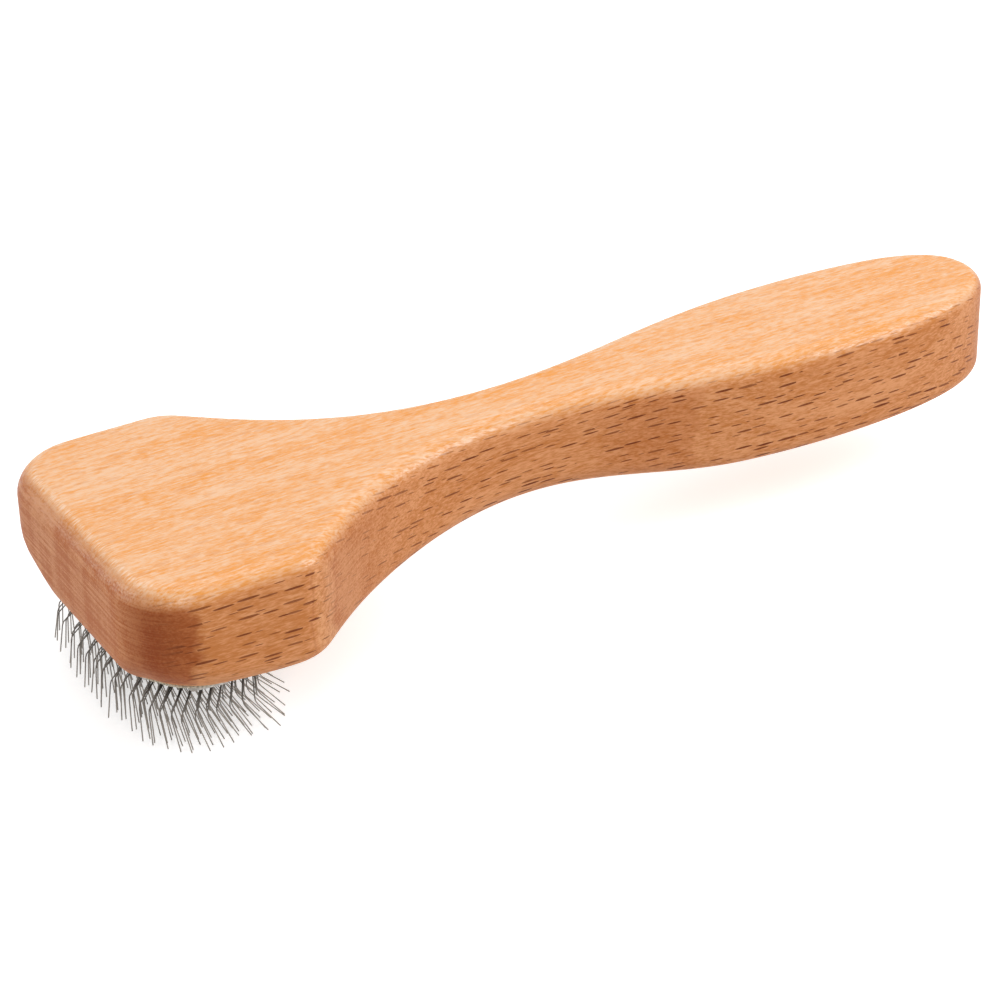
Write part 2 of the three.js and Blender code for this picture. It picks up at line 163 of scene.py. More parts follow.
def bezier(*controls):
    """Points of a Bezier curve by repeated mixing: neighbours are mixed by t until one point is left."""
    share = np.linspace(0, 1, CURVE_STEPS)[:, None]
    points = [np.asarray(control, float)[None] for control in controls]
    while len(points) > 1:
        points = [a * (1 - share) + b * share for a, b in zip(points, points[1:])]
    return points[0]


def evenly_spaced(points, count):
    """The same line with its points at equal steps of its length."""
    steps = np.linalg.norm(np.diff(points, axis=0), axis=1)
    along = np.concatenate([[0], np.cumsum(steps)])
    wanted = np.linspace(0, along[-1], count + 1)
    return np.stack([np.interp(wanted, along, points[:, axis]) for axis in (0, 1)], axis=1)


# %% Half of the outline
FRONT_CORNER_RADIUS = 8.8 * MM
SHOULDER_AT = 22.8 * MM
SHOULDER_SETBACK = 3 * MM
FLARE_ANGLE = math.radians(41)
FLARE_FULLNESS = 0.28
NECK_AT = 60.6 * MM
NECK_HALF_WIDTH = 5.5 * MM
NECK_FULLNESS_FRONT = 0.48
NECK_FULLNESS_BACK = 0.36
SWELL_TO_TAIL = 28.4 * MM
SWELL_HALF_WIDTH = 10.95 * MM
SWELL_FULLNESS_FRONT = 0.43
SWELL_FULLNESS_BACK = 0.62
TAIL_FULLNESS = 0.7
OUTLINE_STEPS = 220


def half_outline():
    """From the front corner to the tip of the tail: an arc, a straight, a shoulder and three curves."""
    side = HEAD_HALF_WIDTH
    swell_at = LENGTH - SWELL_TO_TAIL
    downhill = np.array([math.cos(FLARE_ANGLE), -math.sin(FLARE_ANGLE)])
    shoulder = np.array([SHOULDER_AT, side])
    neck = np.array([NECK_AT, NECK_HALF_WIDTH])
    swell = np.array([swell_at, SWELL_HALF_WIDTH])
    flare = shoulder + SHOULDER_SETBACK * downhill
    flare_span = np.linalg.norm(neck - flare)
    grip_span = swell_at - NECK_AT
    turn = np.linspace(math.pi, math.pi / 2, CURVE_STEPS)
    corner = np.stack([1 + np.cos(turn), np.sin(turn) - 1], axis=1) * FRONT_CORNER_RADIUS + [0, side]
    stretches = [
        corner,
        bezier([SHOULDER_AT - SHOULDER_SETBACK, side], shoulder, flare),
        bezier(
            flare,
            flare + FLARE_FULLNESS * flare_span * downhill,
            neck - [NECK_FULLNESS_FRONT * flare_span, 0],
            neck,
        ),
        bezier(
            neck,
            neck + [NECK_FULLNESS_BACK * grip_span, 0],
            swell - [SWELL_FULLNESS_FRONT * grip_span, 0],
            swell,
        ),
        bezier(
            swell,
            swell + [SWELL_FULLNESS_BACK * SWELL_TO_TAIL, 0],
            [LENGTH, TAIL_FULLNESS * SWELL_HALF_WIDTH],
            [LENGTH, 0],
        ),
    ]
    return evenly_spaced(np.concatenate(stretches), OUTLINE_STEPS)


half = half_outline()
print("outline from", (half[0] / MM).round(1), "to", (half[-1] / MM).round(1))

# %% [markdown]
# ## Rounding the edges
# The maker rounds all edges by machine and sands them: more at the front, most at the two lower front
# corners, and more below the neck, where the fingers go. The neck's underside is also hollowed. So the
# edge's radius is a function of the place, and one profile of two quarter circles is carried round the
# outline. A bevel with a weight on every edge could do it too, but the formula is easier to change.

# %% The radius of the lower edge
LOWER_RADIUS = 2.2 * MM
FRONT_LOWER_RADIUS = 3.9 * MM
NECK_LOWER_RADIUS = 3.4 * MM
NEAR_CORNER_EXTRA = 2.1 * MM
FAR_CORNER_EXTRA = 3.5 * MM
CORNER_SIDE_REACH = 15 * MM
NEAR_FRONT_REACH = 5.6 * MM
FAR_FRONT_REACH = 12 * MM
FRONT_EASE_LENGTH = 12 * MM
ARCH_LENGTH = 59 * MM
ARCH_AT = NECK_AT + 2 * MM


def arch_share(x):
    """One at the top of the underside's hollow, falling to zero at its ends as half a cosine wave."""
    offset = np.clip(2 * (x - ARCH_AT) / ARCH_LENGTH, -1, 1)
    return (1 + np.cos(np.pi * offset)) / 2


def smooth_step(t):
    """Three t squared minus two t cubed, with t kept between zero and one."""
    t = np.clip(t, 0, 1)
    return t * t * (3 - 2 * t)


def corner_extra(x, y):
    """What sanding adds to the lower edge's radius at a front corner, easing off along side and front."""
    near = y < 0
    inner = FRONT_CORNER_RADIUS / 2
    along = 1 - smooth_step((x - inner) / CORNER_SIDE_REACH)
    reach = np.where(near, NEAR_FRONT_REACH, FAR_FRONT_REACH)
    across = 1 - smooth_step((HEAD_HALF_WIDTH - inner - np.abs(y)) / reach)
    return np.where(near, NEAR_CORNER_EXTRA, FAR_CORNER_EXTRA) * along * across


def front_share(x):
    """One at the front face, falling to zero one ease length behind it."""
    return 1 - smooth_step(x / FRONT_EASE_LENGTH)


def lower_radius(x, y):
    """The lower edge's radius: the plain one, with what front, neck and front corners add to it."""
    front = (FRONT_LOWER_RADIUS - LOWER_RADIUS) * front_share(x)
    neck = (NECK_LOWER_RADIUS - LOWER_RADIUS) * arch_share(x)
    return LOWER_RADIUS + front + neck + corner_extra(x, y)


print("largest lower radius", round(float(lower_radius(*half.T).max()) / MM, 2), "mm")

# %% Rings round the outline
TOP_RADIUS = 2.7 * MM
FRONT_TOP_RADIUS = 3.4 * MM
TAIL_TOP_RADIUS = 2.1 * MM
TAIL_EASE_LENGTH = 20 * MM
ARCH_RISE = 1.95 * MM
EDGE_STEPS = 10
ACROSS_STEPS = 28


def closed_outline():
    """Near side to the tail, far side back, then across the front edge, with the outward directions."""
    near = half * [1, -1]
    far = half[-2::-1]
    across = np.linspace(far[-1], near[0], ACROSS_STEPS + 1)[1:-1]
    points = np.concatenate([near, far, across])
    along = np.roll(points, -1, axis=0) - np.roll(points, 1, axis=0)
    along /= np.linalg.norm(along, axis=1, keepdims=True)
    return points, np.stack([along[:, 1], -along[:, 0]], axis=1)


def wood_rings():
    """Rings from the underside to the top: at each turn t the inset and height follow a quarter circle."""
    points, outward = closed_outline()
    x, y = points.T
    arch = arch_share(x)
    tail = smooth_step(1 - (LENGTH - x) / TAIL_EASE_LENGTH)
    lower = lower_radius(x, y)
    top = TOP_RADIUS + (FRONT_TOP_RADIUS - TOP_RADIUS) * front_share(x)
    top = top + (TAIL_TOP_RADIUS - TOP_RADIUS) * tail
    turn = np.linspace(0, math.pi / 2, EDGE_STEPS + 1)[:, None]
    inset = np.concatenate([lower * (1 - np.sin(turn)), top * (1 - np.cos(turn))])
    height = np.concatenate(
        [ARCH_RISE * arch + lower * (1 - np.cos(turn)), THICKNESS - top * (1 - np.sin(turn))]
    )
    flat = points[None] - inset[..., None] * outward[None]
    return np.concatenate([flat, height[..., None]], axis=-1)


print("rings and points round each", wood_rings().shape[:2])


# %% The wood, closed by its caps
def cap(points, outer, first):
    """Fills a ring's inside with rows across the brush; gives the new points and the vertex numbers."""
    rows = OUTLINE_STEPS + 1
    near = outer[:rows]
    far = outer[2 * OUTLINE_STEPS : OUTLINE_STEPS - 1 : -1]
    share = np.linspace(0, 1, ACROSS_STEPS + 1)[None, 1:-1, None]
    inner = points[near][1:-1, None] * (1 - share) + points[far][1:-1, None] * share
    ids = np.empty((rows, ACROSS_STEPS + 1), int)
    ids[:, 0] = near
    ids[:, -1] = far
    ids[0, 1:-1] = outer[: 2 * OUTLINE_STEPS : -1]
    ids[-1, :] = near[-1]
    ids[1:-1, 1:-1] = ring_ids(first, *inner.shape[:2])
    return inner.reshape(-1, 3), ids


def cap_faces(ids, upward):
    """Quads between the rows, and triangles at the tip of the tail."""
    quads = grid_quads(ids[:-1])
    last = ids[-2]
    tip = np.full(len(last) - 1, ids[-1, 0])
    triangles = np.stack([last[:-1], last[1:], tip], axis=1)
    if upward:
        return quads[:, ::-1].tolist() + triangles[:, ::-1].tolist()
    return quads.tolist() + triangles.tolist()


def make_wood():
    """The walls between the rings, closed by a cap below and a cap on top."""
    rings = wood_rings()
    ids = ring_ids(0, *rings.shape[:2])
    points = rings.reshape(-1, 3)
    below, below_ids = cap(points, ids[0], len(points))
    above, above_ids = cap(points, ids[-1], len(points) + len(below))
    points = np.concatenate([points, below, above]) + [FRONT, 0, UNDERSIDE]
    faces = grid_quads(ids, wrap=True).tolist()
    faces += cap_faces(below_ids, upward=False) + cap_faces(above_ids, upward=True)
    return add_piece("beech_wood", points, faces, ["beech_body"])


wood = make_wood()

# %% [markdown]
# ## The pad
# Such pads come from the makers of card clothing: wires set in layers of cloth and rubber. A felt
# underlay crowns it, so that the wires fan out. All three layers are rounded rectangles whose size is a
# share of the rim, with a depth that depends on that share, so one function of share and angle makes them.

# %% The rings of the pad
PAD_FRONT_SETBACK = 3 * MM
PAD_BACK_SETBACK = 1.5 * MM
PAD_SIDE_SETBACK = 3.1 * MM
PAD_MARGIN = 1.6 * MM
PAD_SQUARENESS = 5
PAD_SIDES = 160
FELT_CROWN = 2.0 * MM
FELT_SIDE = 0.2 * MM
CROWN_FULLNESS = 0.8
CROWN_RINGS = 18

PAD_HALF_LENGTH = (SHOULDER_AT - PAD_BACK_SETBACK - PAD_FRONT_SETBACK) / 2
PAD_HALF_WIDTH = HEAD_HALF_WIDTH - PAD_SIDE_SETBACK
PAD_CENTRE = FRONT + PAD_FRONT_SETBACK + PAD_HALF_LENGTH
CROWN_HALF_LENGTH = PAD_HALF_LENGTH - PAD_MARGIN
CROWN_HALF_WIDTH = PAD_HALF_WIDTH - PAD_MARGIN


def felt_depth(share):
    """Depth below the wood: the side's, plus the crown's times a power of one minus share squared."""
    return FELT_SIDE + (FELT_CROWN - FELT_SIDE) * (1 - share * share) ** CROWN_FULLNESS


def pad_ring(half_length, half_width, depth):
    """A superellipse: cosine and sine raised to two over the squareness, with their signs kept."""
    turn = np.linspace(0, 2 * np.pi, PAD_SIDES, endpoint=False)
    cosine, sine = np.cos(turn), np.sin(turn)
    power = 2 / PAD_SQUARENESS
    x = PAD_CENTRE + half_length * np.sign(cosine) * np.abs(cosine) ** power
    y = half_width * np.sign(sine) * np.abs(sine) ** power
    return np.stack([x, y, np.full(PAD_SIDES, UNDERSIDE - depth)], axis=1)


def crown_rings(below, last=1.0):
    """Rings of the crowned face from the middle outwards, each deeper than the felt by the same amount."""
    shares = last * np.sin(np.linspace(0, np.pi / 2, CROWN_RINGS + 1)[1:])
    return [
        pad_ring(CROWN_HALF_LENGTH * share, CROWN_HALF_WIDTH * share, felt_depth(share) + below)
        for share in shares
    ]


def on_the_wood(ring):
    """Lifts a ring of the margin onto the wood's rounded edge, by the sagitta of its arc there."""
    points, _ = closed_outline()
    apart = np.linalg.norm(ring[:, None, :2] - [FRONT, 0] - points[None], axis=2)
    radius = lower_radius(*points[apart.argmin(axis=1)].T)
    past = np.maximum(radius - apart.min(axis=1), 0)
    lift = radius - np.sqrt(radius**2 - past**2)
    return ring + np.stack([0 * lift, 0 * lift, lift], axis=1)


print("pad", round(2 * PAD_HALF_LENGTH / MM, 1), "x", round(2 * PAD_HALF_WIDTH / MM, 1), "mm")

# %% Felt, cloth and rubber
FELT_DRAW_IN = 0.3 * MM
CLOTH_THICKNESS = 0.4 * MM
PAD_RISE_WIDTH = 0.5 * MM
FACE_THICKNESS = 0.4 * MM
FACE_SETBACK = 0.3 * MM
LAYER_GAP = 0.1 * MM
FACE_TOP = CLOTH_THICKNESS + 2 * LAYER_GAP


def closed_layer(name, lower_depth, rings, upper_depth, replaced=()):
    """A solid through rings, from the middle of its lower face to the middle of its upper face."""
    points = np.concatenate(rings)
    middles = [[PAD_CENTRE, 0, UNDERSIDE - lower_depth], [PAD_CENTRE, 0, UNDERSIDE - upper_depth]]
    ids = ring_ids(0, len(rings), PAD_SIDES)
    lower, upper = len(points), len(points) + 1
    first, last = ids[0], ids[-1]
    faces = grid_quads(ids, wrap=True).tolist()
    faces += np.stack([np.roll(first, -1), first, np.full(PAD_SIDES, lower)], axis=1).tolist()
    faces += np.stack([last, np.roll(last, -1), np.full(PAD_SIDES, upper)], axis=1).tolist()
    return add_piece(name, np.concatenate([points, middles]), faces, replaced)


def make_felt():
    """Crowned below, flat on the wood, its sides drawn in."""
    foot = pad_ring(CROWN_HALF_LENGTH - FELT_DRAW_IN, CROWN_HALF_WIDTH - FELT_DRAW_IN, 0)
    rings = [*crown_rings(0), foot]
    return closed_layer("felt_pad", FELT_CROWN, rings, 0, ["felt_underlay"])


def make_cloth():
    """A sheet of even thickness over the felt, with a margin that lies on the wood."""
    rise_length = CROWN_HALF_LENGTH + PAD_RISE_WIDTH
    rise_width = CROWN_HALF_WIDTH + PAD_RISE_WIDTH
    margin = [
        pad_ring(rise_length, rise_width, CLOTH_THICKNESS),
        on_the_wood(pad_ring(PAD_HALF_LENGTH, PAD_HALF_WIDTH, CLOTH_THICKNESS)),
        on_the_wood(pad_ring(PAD_HALF_LENGTH, PAD_HALF_WIDTH, 0)),
        pad_ring(rise_length, rise_width, 0),
    ]
    rings = [*crown_rings(LAYER_GAP + CLOTH_THICKNESS), *margin, *crown_rings(LAYER_GAP)[::-1]]
    upper = FELT_CROWN + LAYER_GAP
    return closed_layer("pad_cloth", upper + CLOTH_THICKNESS, rings, upper, ["foundation_cloth"])


def make_face():
    """The rubber skin that grips the wires, set back a little from the crown's rim."""
    last = 1 - FACE_SETBACK / CROWN_HALF_LENGTH
    rings = [*crown_rings(FACE_TOP + FACE_THICKNESS, last), *crown_rings(FACE_TOP, last)[::-1]]
    upper = FELT_CROWN + FACE_TOP
    return closed_layer("rubber_face", upper + FACE_THICKNESS, rings, upper)


felt_pad = make_felt()
pad_cloth = make_cloth()
rubber_face = make_face()

# %% [markdown]
# ## The wires
# Each wire leaves the rubber leaning forward, bends at a knee, and leans back to its cut tip. The crown
# fans the rows out along and across the head. A particle system could scatter wires, but rows worked
# out from a pitch stay true to how a setting machine places them. A seeded draw bends each wire a little.

# %% Where the wires stand
ROW_PITCH = 0.64 * MM
PIN_PITCH = 2.26 * MM
PIN_EDGE_DISTANCE = 0.5 * MM


def crown_share(x, y):
    """The share of the crown's size at which a place lies, measured from the pad's middle."""
    along = np.abs(x / CROWN_HALF_LENGTH) ** PAD_SQUARENESS
    across = np.abs(y / CROWN_HALF_WIDTH) ** PAD_SQUARENESS
    return (along + across) ** (1 / PAD_SQUARENESS)


def pin_places():
    """Staggered rows: every second one is moved by half a pitch, and places past the field go."""
    rows = np.arange(-math.floor(CROWN_HALF_LENGTH / ROW_PITCH), CROWN_HALF_LENGTH / ROW_PITCH)
    columns = np.arange(-math.ceil(CROWN_HALF_WIDTH / PIN_PITCH), CROWN_HALF_WIDTH / PIN_PITCH + 1)
    row, column = np.meshgrid(rows, columns, indexing="ij")
    x = (row * ROW_PITCH).ravel()
    y = ((column + np.mod(row, 2) / 2) * PIN_PITCH).ravel()
    inside = crown_share(x, y) <= 1 - PIN_EDGE_DISTANCE / CROWN_HALF_LENGTH
    return x[inside], y[inside]


print("wires", len(pin_places()[0]))

# %% How each wire runs
WIRE_RADIUS = 0.08 * MM
FIRST_LEG = 4.5 * MM
SECOND_LEG = 4.75 * MM
FIRST_LEAN = math.radians(17.5)
SECOND_LEAN = math.radians(25)
FAN_ALONG = math.radians(28.5)
FAN_ACROSS = math.radians(18.2)
FAN_CENTRE_OFFSET = 1.3 * MM
ROOT_DEPTH = 0.25 * MM
KNEE_REACH = 0.5 * MM
LEAN_SPREAD = math.radians(2.6)
LEG_SPREAD = 0.12 * MM


def pin_directions(x, y, draws):
    """Directions of both legs: the crown's outward normal, leaned forward and then back about the row."""
    along = FAN_ALONG * (x - FAN_CENTRE_OFFSET) / CROWN_HALF_LENGTH + LEAN_SPREAD * draws[:, 0]
    across = FAN_ACROSS * y / CROWN_HALF_WIDTH + LEAN_SPREAD * draws[:, 1]
    level = np.cos(across)
    outward = np.stack([np.sin(along) * level, np.sin(across), -np.cos(along) * level], axis=1)
    back = np.stack([np.cos(along), np.zeros_like(along), np.sin(along)], axis=1)
    first_lean = (FIRST_LEAN + LEAN_SPREAD * draws[:, 2])[:, None]
    second_lean = (SECOND_LEAN + LEAN_SPREAD * draws[:, 3])[:, None]
    first = outward * np.cos(first_lean) - back * np.sin(first_lean)
    second = outward * np.cos(second_lean) + back * np.sin(second_lean)
    first /= np.linalg.norm(first, axis=1, keepdims=True)
    second /= np.linalg.norm(second, axis=1, keepdims=True)
    return first, second


def pin_paths(x, y, draws):
    """Five points a wire: root, before the knee, in its bend, after it, and the tip, cut at the floor."""
    first, second = pin_directions(x, y, draws)
    depth = felt_depth(crown_share(x, y)) + FACE_TOP + FACE_THICKNESS - ROOT_DEPTH
    root = np.stack([PAD_CENTRE + x, y, UNDERSIDE - depth], axis=1)
    knee = root + first * (FIRST_LEG + LEG_SPREAD * draws[:, 4])[:, None]
    to_floor = (knee[:, 2] - WIRE_RADIUS) / -second[:, 2]
    length = np.minimum(SECOND_LEG + LEG_SPREAD * draws[:, 5], to_floor)
    before = knee - first * KNEE_REACH
    after = knee + second * KNEE_REACH
    bend = (before + 2 * knee + after) / 4
    tip = knee + second * length[:, None]
    path = np.stack([root, before, bend, after, tip], axis=1)
    middle = first + second
    middle /= np.linalg.norm(middle, axis=1, keepdims=True)
    tangent = np.stack([first, first, middle, second, second], axis=1)
    return path, tangent


# %% The wires as tubes
WIRE_SIDES = 6
PIN_SEED = 11
DRAWS_A_WIRE = 6


def make_wires():
    """A ring of corners round each path point, in the plane square to the wire, joined into one mesh."""
    x, y = pin_places()
    draws = np.random.default_rng(PIN_SEED).uniform(-1, 1, (len(x), DRAWS_A_WIRE))
    path, tangent = pin_paths(x, y, draws)
    across = np.cross(tangent[:, 0], tangent[:, -1])
    across = (across / np.linalg.norm(across, axis=1, keepdims=True))[:, None, None]
    side = np.cross(tangent[:, :, None], across)
    turn = np.linspace(0, 2 * np.pi, WIRE_SIDES, endpoint=False)[:, None]
    corners = path[:, :, None] + WIRE_RADIUS * (across * np.cos(turn) - side * np.sin(turn))
    ids = np.arange(corners[..., 0].size).reshape(corners.shape[:3])
    following = np.roll(ids, -1, axis=2)
    quads = np.stack([ids[:, :-1], following[:, :-1], following[:, 1:], ids[:, 1:]], axis=-1)
    faces = quads.reshape(-1, 4).tolist() + ids[:, 0, ::-1].tolist() + ids[:, -1].tolist()
    return add_piece("steel_wires", corners.reshape(-1, 3), faces, ["wire_pins"])


wires = make_wires()

# %% [markdown]
# ## Materials: a few helpers
# A material is a small graph. These helpers add a node, set its inputs or link them, and give back the
# socket that the next node needs, so that a finish below reads from top to bottom.

# %% Helpers for shader graphs
# A Mix node keeps sockets for numbers, vectors and colours side by side. These are the ones for colours.
MIX_SHARE, MIX_FIRST, MIX_SECOND, MIX_RESULT = 0, 6, 7, 2


def shader_node(tree, kind, settings=None, **inputs):
    """A new node with settings; each of its inputs is a value or a socket."""
    made = tree.nodes.new("ShaderNode" + kind)
    for name, value in (settings or {}).items():
        setattr(made, name, value)
    set_inputs(tree, made, **inputs)
    return made


def set_inputs(tree, node, **inputs):
    """Fills a node's inputs by their names, where an underscore stands for a space."""
    for name, value in inputs.items():
        fill(tree, node.inputs[name.replace("_", " ")], value)


def fill(tree, socket, value):
    """Links a socket into an input, or sets the input's value."""
    if isinstance(value, bpy.types.NodeSocket):
        tree.links.new(value, socket)
    else:
        socket.default_value = value


def calculate(tree, operation, first, second=0.0, clamp=False):
    """A Math node's result."""
    made = shader_node(tree, "Math", {"operation": operation, "use_clamp": clamp})
    fill(tree, made.inputs[0], first)
    fill(tree, made.inputs[1], second)
    return made.outputs[0]


def product(tree, first, *others):
    """Two or more values multiplied with each other."""
    for other in others:
        first = calculate(tree, "MULTIPLY", first, other)
    return first


def multiply_add(tree, value, factor, addend):
    """A value times a factor, plus an addend."""
    made = shader_node(tree, "Math", {"operation": "MULTIPLY_ADD"})
    for socket, term in zip(made.inputs, (value, factor, addend)):
        fill(tree, socket, term)
    return made.outputs[0]


def calculate_vector(tree, operation, first, second=(0, 0, 0), output="Vector"):
    """A Vector Math node's result."""
    made = shader_node(tree, "VectorMath", {"operation": operation})
    fill(tree, made.inputs[0], first)
    fill(tree, made.inputs[1], second)
    return made.outputs[output]


def ease(tree, value, low, high):
    """Zero at low, one at high, and a smooth step between them; low may be the larger of the two."""
    settings = {"interpolation_type": "SMOOTHSTEP"}
    made = shader_node(tree, "MapRange", settings, Value=value, From_Min=low, From_Max=high)
    return made.outputs["Result"]


def mix_colour(tree, share, first, second, blend="MIX"):
    """Two colours mixed by a share."""
    made = shader_node(tree, "Mix", {"data_type": "RGBA", "blend_type": blend})
    fill(tree, made.inputs[MIX_SHARE], share)
    fill(tree, made.inputs[MIX_FIRST], first)
    fill(tree, made.inputs[MIX_SECOND], second)
    return made.outputs[MIX_RESULT]


# %% Helpers for finishes
def noise(tree, place, stretch, detail=2.0, roughness=0.5):
    """Noise from zero to one whose features measure one over the stretch, in the place's own unit."""
    stretched = calculate_vector(tree, "MULTIPLY", place, stretch)
    made = shader_node(tree, "TexNoise", Vector=stretched, Scale=1.0, Detail=detail, Roughness=roughness)
    return made.outputs["Fac"]


def new_finish(name):
    """A material, its node tree, its Principled shader, the place in millimetres, and the coordinates."""
    material = bpy.data.materials.new(name)
    material.use_nodes = True
    tree = material.node_tree
    surface = tree.nodes["Principled BSDF"]
    coordinates = shader_node(tree, "TexCoord")
    place = calculate_vector(tree, "MULTIPLY", coordinates.outputs["Object"], (1 / MM,) * 3)
    return material, tree, surface, place, coordinates


def bumped(tree, surface, height, depth):
    """Gives the shader a bump of a real depth."""
    bump = shader_node(tree, "Bump", Strength=1.0, Distance=depth, Height=height)
    set_inputs(tree, surface, Normal=bump.outputs["Normal"])


def dress(piece, material):
    """Gives a piece one material."""
    piece.data.materials.clear()
    piece.data.materials.append(material)
    print(piece.name, "wears", material.name)


# %% [markdown]
# ## Oiled beech
# Beech has fine pores, faint growth rings and rays: thin blades that run out from the tree's middle. Cut
# across, on the sides of this brush, the rays are short dark dashes. Cut along, on its top, they are soft
# orange flecks. Oil sinks into the end grain and darkens it. A picture could be wrapped on, but a solid
# texture is better: it is worked out in the log's own directions and comes out right on every face.

# %% The log's directions
PITH = (0, 130, -35)
WANDER_STRETCH = (0.018, 0.06, 0.06)
WANDER_REACH = (0, 3.0, 3.0)


def log_directions(tree, place):
    """Along the fibre, out from the pith and round it, in millimetres, with a slow wander of the grain."""
    slow = calculate_vector(tree, "MULTIPLY", place, WANDER_STRETCH)
    wander = shader_node(tree, "TexNoise", Vector=slow, Scale=1.0, Detail=1.0)
    centred = calculate_vector(tree, "SUBTRACT", wander.outputs["Color"], (0.5, 0.5, 0.5))
    shift = calculate_vector(tree, "MULTIPLY", centred, WANDER_REACH)
    moved = calculate_vector(tree, "ADD", place, shift)
    from_pith = calculate_vector(tree, "SUBTRACT", moved, PITH)
    parts = shader_node(tree, "SeparateXYZ", Vector=from_pith)
    square = calculate_vector(tree, "MULTIPLY", from_pith, (0, 1, 1))
    radius = calculate_vector(tree, "LENGTH", square, output="Value")
    toward_brush = calculate(tree, "MULTIPLY", parts.outputs["Y"], -1.0)
    angle = calculate(tree, "ARCTAN2", parts.outputs["Z"], toward_brush)
    around = calculate(tree, "MULTIPLY", angle, math.hypot(*PITH))
    return shader_node(tree, "CombineXYZ", X=parts.outputs["X"], Y=radius, Z=around).outputs[0]


print("pith", round(math.hypot(*PITH)), "mm from the brush's middle")

# %% The rays
RAY_CELL = (3.0, 2.4, 0.85)
RAY_HALF_SIZE = (1.3, 1.5, 0.11)
RAY_LEAST_REACH = 0.3
RAY_SOFT_EDGE = 0.2


def ray_mask(tree, grain):
    """One inside a ray: each cell's ray is an ellipsoid, long along the fibre and thin round the pith."""
    cell_share = tuple(1 / cell for cell in RAY_CELL)
    cells = calculate_vector(tree, "MULTIPLY", grain, cell_share)
    voronoi = shader_node(tree, "TexVoronoi", Vector=cells, Scale=1.0)
    offset = calculate_vector(tree, "SUBTRACT", cells, voronoi.outputs["Position"])
    ray_share = tuple(cell / size for cell, size in zip(RAY_CELL, RAY_HALF_SIZE))
    scaled = calculate_vector(tree, "MULTIPLY", offset, ray_share)
    distance = calculate_vector(tree, "LENGTH", scaled, output="Value")
    draw = shader_node(tree, "SeparateColor", Color=voronoi.outputs["Color"])
    reach = calculate(tree, "ADD", draw.outputs["Red"], RAY_LEAST_REACH)
    inside = calculate(tree, "SUBTRACT", reach, distance)
    return ease(tree, inside, 0.0, RAY_SOFT_EDGE), draw.outputs["Green"]


# %% Layers of grain
GRAIN_LAYERS = {
    "rings": {"stretch": (0.003, 0.55, 0.006), "detail": 3.0, "roughness": 0.6},
    "streaks": {"stretch": (0.28, 2.4, 2.4), "detail": 3.0},
    "pores": {"stretch": (0.55, 7.5, 7.5)},
    "vessels": {"stretch": (0.9, 4.6, 4.6), "roughness": 0.6},
    "patches": {"stretch": (0.06, 0.16, 0.16)},
}
END_LAYERS = {
    "layers": {"stretch": (0.2, 0.12, 4.2)},
    "bands": {"stretch": (0.1, 0.5, 0.05)},
}
LONG_GRAIN = {"rings": 0.15, "streaks": 0.22, "pores": 0.17, "vessels": 0.33, "patches": 0.13}
END_GRAIN = {"layers": 0.35, "bands": 0.2, "vessels": 0.25, "patches": 0.2}
GRAIN_CONTRAST = (0.4, 0.6)


def grain_layers(tree, grain, place):
    """One noise a layer: most in the log's directions, the end grain's own in the brush's."""
    layers = {name: noise(tree, grain, **look) for name, look in GRAIN_LAYERS.items()}
    return layers | {name: noise(tree, place, **look) for name, look in END_LAYERS.items()}


def weighted(tree, layers, weights):
    """The sum of layers times their weights, eased to more contrast."""
    total = 0.0
    for name, weight in weights.items():
        total = multiply_add(tree, layers[name], weight, total)
    return ease(tree, total, *GRAIN_CONTRAST)


print("layers of grain", len(GRAIN_LAYERS) + len(END_LAYERS))

# %% [markdown]
# ## Marks of oil and work, and painted light
# No two boards look alike. This one drank more oil at its front corners and was sanded at the shoulder;
# painted shade darkens the corners and a stretch of the handle, and painted highlights pale the shoulder
# and the strokes of wear along the front edge. Such marks could be painted on a picture. Here each is a
# function of the place: it takes the colour so far and gives it back changed. A little noise keeps their
# borders from being straight.


# %% A wavy distance along the brush
def wavy_along(tree, place, stretch, reach, detail):
    """The distance along the brush, plus noise less a half, times its reach, in millimetres."""
    wander = noise(tree, place, stretch, detail)
    along = shader_node(tree, "SeparateXYZ", Vector=place).outputs["X"]
    return multiply_add(tree, wander, reach, calculate(tree, "SUBTRACT", along, reach / 2))


# %% Front corners: oil and painted shade
# Where the front turns to the side, oil in the end grain and painted shade darken the wood.
CORNER_OIL_AND_SHADE_COLOUR = (0.64, 0.44, 0.3, 1)
CORNER_TURN = 0.65
CORNER_DARK_END = FRONT / MM + 6.5
CORNER_DARK_SOFTNESS = 1.0
CORNER_DARK_WAVES = {"stretch": (0.2, 0.2, 0.35), "reach": 6.0, "detail": 3.0}


def oil_and_shade_corners(tree, place, facing, upright, colour):
    """Oil and painted shade darken the turn from front to side; on the side they end in a wavy line."""
    toward_side = ease(tree, calculate(tree, "ABSOLUTE", facing.outputs["Y"]), 0.0, CORNER_TURN)
    along = wavy_along(tree, place, **CORNER_DARK_WAVES)
    darkened = ease(tree, along, CORNER_DARK_END + CORNER_DARK_SOFTNESS, CORNER_DARK_END - CORNER_DARK_SOFTNESS)
    share = product(tree, toward_side, darkened, upright)
    return mix_colour(tree, share, colour, CORNER_OIL_AND_SHADE_COLOUR, "MULTIPLY")


# %% The shoulder: sanding scratches, seams and a painted highlight
SHOULDER_SEAMS = (FRONT / MM + 21.8, FRONT / MM + 26.2)
SHOULDER_WAVES = {"stretch": (0.12, 0.12, 0.3), "reach": 2.2, "detail": 1.0}
